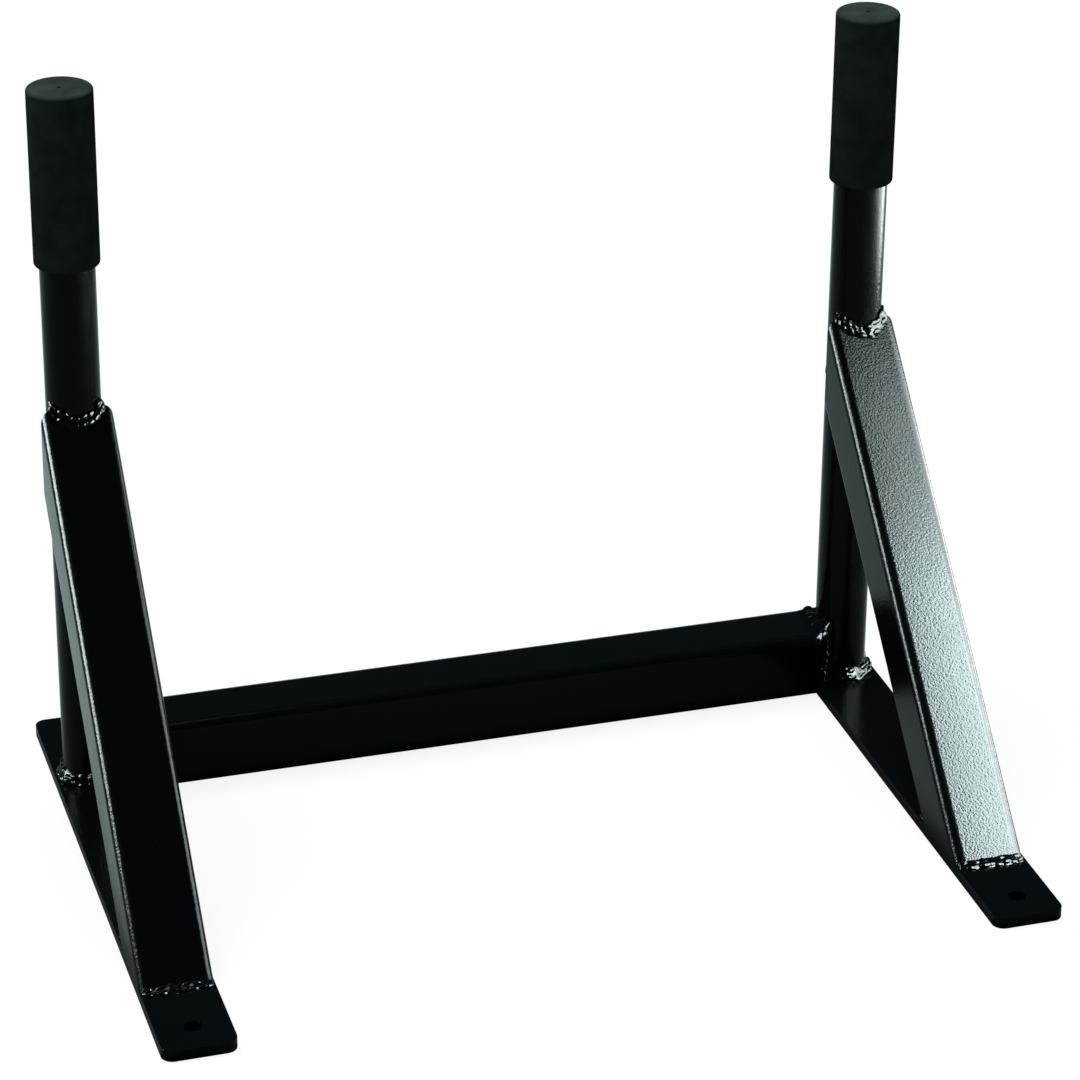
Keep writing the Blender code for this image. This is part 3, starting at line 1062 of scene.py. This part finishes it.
@dataclass
class Brace:
    """Diagonal square tube from the plate to the handle, with the beads that hold it."""

    sizes: SideSizes
    finishes: Finishes
    seed: int
    stock: SquareStock = field(default_factory=SquareStock)
    top_leg: float = 0.0058
    under_leg: float = 0.006
    foot_leg: float = 0.0055
    foot_wrap: float = 0.02
    wrap_degrees: float = 62.0
    wrap_stations: int = 56
    side_toe_degrees: float = 12.0
    side_root_reach: float = 0.0148
    side_root_depth: float = 0.0003
    gap: float = 0.0003
    bead: WeldBead = field(default_factory=WeldBead)
    places: tuple[str, ...] = ("top", "under", "inner", "outer", "toe", "heel")

    def rail(self, point: Vector) -> Vector:
        """Place a point of the tube's section in the section through its front foot.

        Args:
            point: The point in the section's own plane.

        Returns:
            The start of the line that the point draws along the tube.
        """
        sizes = self.sizes
        foot = Vector((sizes.axis.x, sizes.foot_y, sizes.plate_high.z))
        return foot + Vector((point.x, 0.0, 0.0)) + (point.y - self.stock.width / 2) * sizes.off_brace

    def to_height(self, start: Vector, height: float) -> Vector:
        """Slide a point along the brace to a height above the wall."""
        return start + self.sizes.up_brace * ((height - start.z) / self.sizes.up_brace.z)

    def to_y(self, start: Vector, y: float) -> Vector:
        """Slide a point along the brace to a place along the plate."""
        return start + self.sizes.up_brace * ((y - start.y) / self.sizes.up_brace.y)

    def top_y(self, x: float) -> float:
        """Find where the brace's top end is cut: square, and coped round the handle.

        Args:
            x: A place across the brace.

        Returns:
            The Y of the cut there.
        """
        sizes = self.sizes
        radius = sizes.handle_radius + self.gap
        across = x - sizes.axis.x
        cope = sizes.axis.y - math.sqrt(max(radius ** 2 - across ** 2, 0.0))
        return min(sizes.cut_y, cope)

    def lay(self, place: str, stations: Sequence[Station]) -> None:
        """Lay the bead at one of the brace's six places.

        Args:
            place: The place, which is part of the node's name and sets the bead's seed.
            stations: The bead's sections.
        """
        node = f"brace_{place}_weld_{self.sizes.side.label}"
        seed = self.seed + self.places.index(place)
        self.bead.lay(node, stations, self.finishes.weld, seed, self.sizes.edges)

    def build_tube(self) -> None:
        """Make and dress the tube."""
        outer = [self.rail(point) for point, _ in self.stock.outline()]
        inner = [self.rail(point) for point, _ in self.stock.outline(self.stock.wall)]
        height = self.sizes.plate_high.z
        rings = [
            [self.to_height(start, height) for start in outer],
            [self.to_y(start, self.top_y(start.x)) for start in outer],
            [self.to_y(start, self.top_y(start.x)) for start in inner],
            [self.to_height(start, height) for start in inner],
        ]
        data = Shell().loft(rings, closed=True).mesh("brace")
        on_left = self.sizes.side is Side.LEFT
        group = GlossGroup.LEFT_BRACE if on_left else GlossGroup.ROUND_OR_SLOPED
        publish(f"brace_tube_{self.sizes.side.label}", data, self.finishes.steel, group)

    def build_wrap_weld(self, place: str, drop: float, fall: float) -> None:
        """Make and dress a bead on the brace's front or rear face, round the handle.

        Args:
            place: The bead's place on the brace.
            drop: Upright distance of the face below the brace's front face.
            fall: Reach of the bead's toe down the handle, or up it where this is below nothing.
        """
        sizes = self.sizes
        half = math.radians(self.wrap_degrees)
        skin = sizes.handle_radius - SINK
        leg = self.top_leg if fall < 0 else self.under_leg
        tuck = math.copysign(SINK, fall)
        stations = []
        for index in range(self.wrap_stations):
            turn = -math.pi / 2 - half + 2 * half * index / (self.wrap_stations - 1)
            corner, toe = (sizes.around(turn, radius, 0.0) for radius in (skin, skin + leg))
            for point in (corner, toe):
                point.z = sizes.face_height(point.y) - drop + tuck
            root = sizes.around(turn, skin - SINK, corner.z + tuck)
            stations.append(self.bead.section(toe, corner - Vector((0.0, 0.0, fall)), root))
        self.lay(place, stations)

    def build_side_weld(self, place: str, direction: float) -> None:
        """Make and dress the upright bead that joins one side of the cut end to the handle.

        Args:
            place: The bead's place on the brace.
            direction: Sign of the X direction that this side faces.
        """
        sizes = self.sizes
        rails = [
            self.rail(point) for point, normal in self.stock.outline() if normal.x * direction > DIAGONAL
        ]
        edges = sorted((self.to_y(start, sizes.cut_y) for start in rails), key=lambda edge: edge.z)
        toe_turn = -math.radians(self.side_toe_degrees)
        skin = sizes.handle_radius - SINK
        stations = []
        for edge in edges:
            toe = sizes.around(toe_turn, skin, edge.z)
            if direction * sizes.side.inward < 0:
                toe.x = 2 * sizes.axis.x - toe.x
            root = Vector((
                sizes.axis.x + direction * self.side_root_reach, sizes.cut_y - self.side_root_depth, edge.z,
            ))
            stations.append(self.bead.section(edge - Vector((direction * SINK, SINK, 0.0)), toe, root))
        self.lay(place, stations)

    def build_foot_weld(self, place: str, direction: float) -> None:
        """Make and dress the bead across the brace's foot.

        Args:
            place: The bead's place on the brace.
            direction: -1 for the bead in front of the foot and 1 for the bead behind it.
        """
        rails = [
            (self.rail(point), normal) for point, normal in self.stock.outline()
            if -normal.y * direction > 0 and abs(normal.x) < DIAGONAL + self.foot_wrap
        ]
        rails.sort(key=lambda rail: rail[0].x)
        floor = self.sizes.plate_high.z - SINK
        stations = []
        for start, normal in rails:
            outward = Vector((normal.x, -normal.y * self.sizes.rise / self.sizes.stretch, 0.0)).normalized()
            corner = self.to_height(start, floor) - outward * SINK
            climb = corner + self.sizes.up_brace * self.foot_leg
            root = corner - outward * SINK - Vector((0.0, 0.0, SINK))
            stations.append(self.bead.section(corner + outward * self.foot_leg, climb, root))
        self.lay(place, stations)

    def build(self) -> None:
        """Make and dress the tube and its six beads."""
        inward, stretch = self.sizes.side.inward, self.sizes.stretch
        self.build_tube()
        self.build_wrap_weld("top", 0.0, -self.top_leg)
        self.build_wrap_weld("under", self.stock.width * stretch, self.under_leg * stretch)
        self.build_side_weld("inner", inward)
        self.build_side_weld("outer", -inward)
        self.build_foot_weld("toe", -1.0)
        self.build_foot_weld("heel", 1.0)


@dataclass
class CrossTube:
    """Square tube between the two sides, with a bead over each of its ends."""

    sides: tuple[SideSizes, SideSizes]
    finishes: Finishes
    seed: int
    stock: SquareStock = field(default_factory=SquareStock)
    lap: float = 0.0055
    shoulder: float = 0.0014
    climb: float = 0.0055
    bulge_share: float = 0.55
    tube_depth: float = 0.0025
    handle_depth: float = 0.0014
    wrap_degrees: float = 45.0
    level_slack: float = 0.01
    bead: WeldBead = field(default_factory=lambda: WeldBead(
        crown=0.0002, wander=0.10, ripple_height=0.0006, ripple_rows=1, ripple_width_share=0.5, flow_steps=26,
    ))

    def build_tube(self) -> None:
        """Make and dress the tube."""
        low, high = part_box("cross_tube")
        centre = (low + high) / 2
        wall = self.stock.wall
        rings = [
            [Vector((end, centre.y + point.x, centre.z + point.y)) for point, _ in self.stock.outline(inset)]
            for inset, end in ((0.0, low.x), (0.0, high.x), (wall, high.x), (wall, low.x))
        ]
        data = Shell().loft(rings, closed=True).mesh("cross")
        publish("cross_tube", data, self.finishes.steel, GlossGroup.LEVEL)

    def outline_run(self, floor: float) -> list[Pair]:
        """Return (point, normal) pairs up the section's back, over its top and down its front.

        Args:
            floor: Height of the run's two feet above the wall.

        Returns:
            The pairs, with points measured from the section's centre.
        """
        half = self.stock.width / 2
        run = [
            (point, normal) for point, normal in self.stock.outline()
            if point.y + half > floor and normal.y > -self.level_slack
        ]
        run.sort(key=lambda pair: math.atan2(pair[0].y + half, pair[0].x))
        first, last = ((Vector((point.x, floor - half)), normal) for point, normal in (run[0], run[-1]))
        return [first, *run, last]

    def build_weld(self, sizes: SideSizes, seed: int) -> None:
        """Make and dress the bead over the end that meets one handle.

        Args:
            sizes: The sizes of that side.
            seed: Seed of the bead's small differences.
        """
        low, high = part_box("cross_tube")
        centre = (low + high) / 2
        inward = sizes.side.inward
        end_x = low.x if inward > 0 else high.x
        flat = self.stock.width / 2 - self.stock.corner_radius
        half = math.radians(self.wrap_degrees)
        skin = sizes.handle_radius - SINK
        stations = []
        for point, normal in self.outline_run(sizes.plate_high.z - SINK):
            share = max(-1.0, min(1.0, point.x / flat))
            place = Vector((0.0, centre.y + point.x, centre.z + point.y))
            out = Vector((0.0, normal.x, normal.y))
            lap = place - out * SINK + Vector((end_x + inward * self.lap, 0.0, 0.0))
            raised = place + out * self.shoulder + Vector((end_x, 0.0, 0.0))
            meeting = sizes.around(half * share, skin, place.z + self.climb * out.z)
            deep = sizes.around(half * share, skin - self.handle_depth, place.z - self.tube_depth * out.z)
            sunk = place - out * self.tube_depth + Vector((end_x, 0.0, 0.0))
            bulge = raised.lerp(meeting, self.bulge_share) + (raised - sunk).normalized() * self.bead.crown
            stations.append(Station(curve(lap, raised, bulge, meeting, self.bead.crown_steps), [deep, sunk]))
        self.bead.lay(f"cross_tube_weld_{sizes.side.label}", stations, self.finishes.weld, seed)

    def build(self) -> None:
        """Make and dress the tube and its two end beads."""
        self.build_tube()
        for index, sizes in enumerate(self.sides):
            self.build_weld(sizes, self.seed + index)


@dataclass(frozen=True)
class SoftBox:
    """A large soft lamp that shows in the gloss but leaves the plain light level alone."""

    name: str
    place: Sequence[float]
    aim: Sequence[float]
    long_side: Sequence[float]
    width: float
    length: float
    brightness: float
    groups: tuple[GlossGroup, ...] = (GlossGroup.ROUND_OR_SLOPED,)

    def build(self) -> None:
        """Hang the lamp once for each group of pieces that mirrors it, or once for all of them."""
        for group in self.groups or (None,):
            self.hang(group)

    def hang(self, group: GlossGroup | None) -> None:
        """Put a lamp into the scene, facing its aim, with its length along the long side.

        Args:
            group: The pieces that mirror it, or nothing for all of them.
        """
        lamp = bpy.data.lights.new(self.name, "AREA")
        lamp.shape = "RECTANGLE"
        lamp.size = self.width
        lamp.size_y = self.length
        lamp.energy = self.brightness * math.pi * self.width * self.length
        item = bpy.data.objects.new(self.name, lamp)
        bpy.context.scene.collection.objects.link(item)
        place = Vector(self.place)
        behind = (place - Vector(self.aim)).normalized()
        across = Vector(self.long_side).cross(behind).normalized()
        item.matrix_world = facing(place, across, behind.cross(across), behind)
        item.visible_diffuse = False
        item.visible_camera = False
        if group:
            item.light_linking.receiver_collection = group.collection


def background_rays(tree: bpy.types.NodeTree) -> bpy.types.NodeSocket:
    """Add nodes that tell the rays which show the background from those that light the object.

    Args:
        tree: The floor's or the world's tree.

    Returns:
        A socket that is 1 for camera, glossy and transmission rays, and 0 for others.
    """
    ray = add_node(tree, "ShaderNodeLightPath").outputs
    seen = add_node(
        tree, "ShaderNodeMath", {0: ray["Is Camera Ray"], 1: ray["Is Glossy Ray"]}, operation="ADD",
    )
    return add_node(
        tree, "ShaderNodeMath", {0: seen.outputs[0], 1: ray["Is Transmission Ray"]},
        operation="ADD", use_clamp=True,
    ).outputs[0]


@dataclass
class Studio:
    """Pale floor, plain soft light, and the camera."""

    floor_half_width: float = 15.0
    floor_drop: float = 0.0002
    floor_albedo: float = 0.12
    floor_glow: float = 0.88
    gloss_floor_hex: str = "#d7f5f1"
    # Reach and samples of the painted shade, an ambient occlusion that darkens the floor in the gloss near
    # the object, and reach, samples and power of the stronger painted shade right beside it.
    floor_painted_shade_reach: float = 0.35
    floor_painted_shade_samples: int = 4
    floor_nook_reach: float = 0.02
    floor_nook_samples: int = 12
    floor_nook_power: float = 7.0
    sun_strength: float = 3.0
    sun_spread_degrees: float = 40.0
    sun_tilt_degrees: tuple[float, float] = (-12.0, -8.0)
    bank_distance: float = 0.858
    bank_aim: tuple[float, float, float] = (0.285, -0.014, 0.154)
    bank_down: tuple[float, float, float] = (0.090, -0.842, -0.532)
    bank_ahead: tuple[float, float, float] = (0.353, -0.472, 0.808)
    horizon_hex: str = "#fdfefe"
    horizon_rise: float = 0.16
    sky_hex: str = "#353f52"
    sky_rise: float = 0.32
    fill_hex: str = "#64696b"
    azimuth_degrees: float = -17.12
    elevation_degrees: float = 25.16
    roll_degrees: float = 0.52
    aim: tuple[float, float, float] = (0.0209, 0.0498, 0.2631)
    distance: float = 2.75143
    lens_mm: float = 133.44
    shift_y: float = -0.0833

    def build_floor(self) -> None:
        """Lay the pale floor, which keeps the object's shadow and shows pale in the gloss.

        In the gloss it is a little darker near the object and dark right under it: this is painted shade, in
        which ambient occlusion dims the mirrored glow, as on a floor that the object shades.
        """
        half = self.floor_half_width
        data = bpy.data.meshes.new("floor")
        data.from_pydata([(x * half, y * half, -self.floor_drop) for x, y, _ in CORNERS], [], [(0, 1, 2, 3)])
        material = bpy.data.materials.new("pale_floor")
        material.use_nodes = True
        tree = material.node_tree
        tree.nodes.clear()
        glow = add_node(
            tree, "ShaderNodeMath", {0: background_rays(tree), 1: self.floor_glow}, operation="MULTIPLY",
        )
        in_gloss = add_node(tree, "ShaderNodeLightPath").outputs["Is Glossy Ray"]
        # Painted shade: ambient occlusion darkens the floor's colour in the gloss near the object.
        painted_shade = add_node(
            tree, "ShaderNodeAmbientOcclusion",
            {"Color": srgb(self.gloss_floor_hex), "Distance": self.floor_painted_shade_reach},
            samples=self.floor_painted_shade_samples,
        )
        # Painted shade right beside the object: a short ambient occlusion, raised to a high power, dims the
        # mirrored glow.
        painted_nook_shade = add_node(
            tree, "ShaderNodeAmbientOcclusion", {"Distance": self.floor_nook_reach},
            samples=self.floor_nook_samples,
        )
        painted_nook_shade_dark = add_node(
            tree, "ShaderNodeMath", {0: painted_nook_shade.outputs["AO"], 1: self.floor_nook_power}, operation="POWER",
        )
        mirrored_glow_with_painted_shade = add_node(
            tree, "ShaderNodeMath", {0: painted_nook_shade_dark.outputs[0], 1: glow.outputs[0]}, operation="MULTIPLY",
        )
        mirrored = add_node(tree, "ShaderNodeEmission", {
            "Color": painted_shade.outputs["Color"], "Strength": mirrored_glow_with_painted_shade.outputs[0],
        })
        plain = add_node(tree, "ShaderNodeEmission", {"Color": srgb("#ffffff"), "Strength": glow.outputs[0]})
        light = add_node(tree, "ShaderNodeMixShader", {
            0: in_gloss, 1: plain.outputs[0], 2: mirrored.outputs[0],
        })
        matt = add_node(tree, "ShaderNodeBsdfDiffuse", {"Color": (*(self.floor_albedo,) * 3, 1.0)})
        both = add_node(tree, "ShaderNodeAddShader", {0: light.outputs[0], 1: matt.outputs[0]})
        add_node(tree, "ShaderNodeOutputMaterial", {"Surface": both.outputs[0]})
        data.materials.append(material)
        shown("floor", data)

    def build_world(self) -> None:
        """Make a studio that is pale at the horizon and dim overhead."""
        world = bpy.data.worlds.new("studio")
        world.use_nodes = True
        tree = world.node_tree
        tree.nodes.clear()
        direction = add_node(tree, "ShaderNodeTexCoord").outputs["Generated"]
        height = add_node(tree, "ShaderNodeSeparateXYZ", {"Vector": direction}).outputs["Z"]
        ramp = add_node(tree, "ShaderNodeValToRGB", {"Fac": height})
        colour = set_stops(ramp, (self.horizon_rise, self.horizon_hex), (self.sky_rise, self.sky_hex))
        backdrop = add_node(tree, "ShaderNodeBackground", {"Color": colour, "Strength": 1.0})
        fill = add_node(tree, "ShaderNodeBackground", {"Color": srgb(self.fill_hex), "Strength": 1.0})
        both = add_node(tree, "ShaderNodeMixShader", {
            0: background_rays(tree), 1: fill.outputs[0], 2: backdrop.outputs[0],
        })
        add_node(tree, "ShaderNodeOutputWorld", {"Surface": both.outputs[0]})
        bpy.context.scene.world = world

    def build_lamps(self) -> None:
        """Hang a soft overhead light and the softboxes that show in the gloss."""
        lamp = bpy.data.lights.new("overhead", "SUN")
        lamp.energy = self.sun_strength
        lamp.angle = math.radians(self.sun_spread_degrees)
        item = bpy.data.objects.new("overhead", lamp)
        item.rotation_euler = Euler((*map(math.radians, self.sun_tilt_degrees), 0.0))
        item.visible_glossy = False
        bpy.context.scene.collection.objects.link(item)
        sloped, left_brace = GlossGroup.ROUND_OR_SLOPED, GlossGroup.LEFT_BRACE
        softboxes = (
            # Streaks on the left of the round tubes and along the braces' left corners.
            ("left_softbox", (-2.5, 0.54, 0.995), (0.0, 0.05, 0.20), (0.0, 0.69, 0.72),
             1.25, 1.0, 165.0, (sloped, left_brace)),
            # Glints on the beads, from high on the left and from above.
            ("top_left_softbox", (-1.52, 0.36, 1.56), (-0.285, 0.16, 0.01), (0.0, 1.0, 0.0),
             0.5, 0.5, 220.0, ()),
            ("top_softbox", (-0.25, 0.45, 2.0), (0.0, 0.05, 0.1), (1.0, 0.0, 0.0), 0.3, 0.5, 30.0, ()),
            # The dotted line down the right edge of the left brace.
            ("right_edge_strip", (1.37, 0.45, 0.54), (-0.262, 0.1, 0.25), (0.0, 0.747, -0.665),
             0.25, 0.5, 28.0, (left_brace,)),
        )
        # The right brace's face mirrors the keys, and its right edge mirrors the wings.
        bank = (
            ("upper_key", (-1.4, 17.6), (-0.214, -0.035), 92.0, sloped),
            ("lower_key", (-1.4, 17.6), (-0.035, 0.903), 300.0, sloped),
            ("upper_wing", (17.6, 52.8), (-0.295, -0.026), 78.0, sloped),
            ("lower_wing", (17.6, 52.8), (-0.026, 0.815), 175.0, sloped),
            ("side_wing", (52.8, 88.8), (-0.342, 0.814), 50.0, sloped),
            ("dim_wing", (17.6, 70.0), (-0.295, 0.815), 38.0, left_brace),
        )
        for softbox in softboxes:
            SoftBox(*softbox).build()
        for panel in bank:
            self.bank_panel(*panel).build()

    def bank_panel(
        self, name: str, turns: tuple[float, float], run: tuple[float, float], brightness: float,
        group: GlossGroup,
    ) -> SoftBox:
        """Return one panel of a bank of lamps that curves round the right brace, along its front.

        Args:
            name: The panel's name.
            turns: Where its two long edges are, in degrees round the brace from the face's mirror direction.
            run: Where its two ends are, in metres down the brace's mirror line.
            brightness: The panel's brightness.
            group: The pieces that mirror it.

        Returns:
            The panel.
        """
        down, ahead = Vector(self.bank_down).normalized(), Vector(self.bank_ahead).normalized()
        down = (down - down.dot(ahead) * ahead).normalized()
        across = ahead.cross(down)
        middle, half = math.radians(sum(turns) / 2), math.radians(turns[1] - turns[0]) / 2
        aim = Vector(self.bank_aim) + down * (run[0] + run[1]) / 2
        place = aim + self.bank_distance * (math.cos(middle) * ahead + math.sin(middle) * across)
        width = 2 * self.bank_distance * math.tan(half)
        return SoftBox(name, place, aim, down, width, run[1] - run[0], brightness, (group,))

    def build_camera(self) -> None:
        """Set the camera at the photograph's angle."""
        azimuth, elevation, roll = map(
            math.radians, (self.azimuth_degrees, self.elevation_degrees, self.roll_degrees),
        )
        level = math.cos(elevation)
        back = Vector((math.sin(azimuth) * level, -math.cos(azimuth) * level, math.sin(elevation)))
        right = Vector((math.cos(azimuth), math.sin(azimuth), 0.0))
        up = back.cross(right)
        tilted_right = math.cos(roll) * right + math.sin(roll) * up
        tilted_up = -math.sin(roll) * right + math.cos(roll) * up
        lens = bpy.data.cameras.new("camera")
        lens.lens = self.lens_mm
        lens.sensor_width = 36.0
        lens.sensor_fit = "HORIZONTAL"
        lens.shift_y = self.shift_y
        lens.clip_end = 100.0
        camera = bpy.data.objects.new("camera", lens)
        bpy.context.scene.collection.objects.link(camera)
        camera.matrix_world = facing(Vector(self.aim) + back * self.distance, tilted_right, tilted_up, back)
        bpy.context.scene.camera = camera

    def build(self) -> None:
        """Set up the whole studio."""
        self.build_camera()
        self.build_floor()
        self.build_world()
        self.build_lamps()
        bpy.context.scene.view_settings.view_transform = "Standard"
        LOG.info("studio: floor, world, lamps and camera")


def main() -> None:
    """Build the studio and every piece."""
    logging.basicConfig(level=logging.INFO, format="%(message)s")
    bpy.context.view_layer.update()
    Studio().build()
    finishes = Finishes.make()
    sides = (SideSizes.read(Side.LEFT), SideSizes.read(Side.RIGHT))
    for index, sizes in enumerate(sides):
        WallPlate(sizes, finishes).build()
        Handle(sizes, finishes, seed=10 + 40 * index).build()
        Brace(sizes, finishes, seed=20 + 40 * index).build()
    CrossTube(sides, finishes, seed=90).build()


if __name__ == "__main__":
    main()
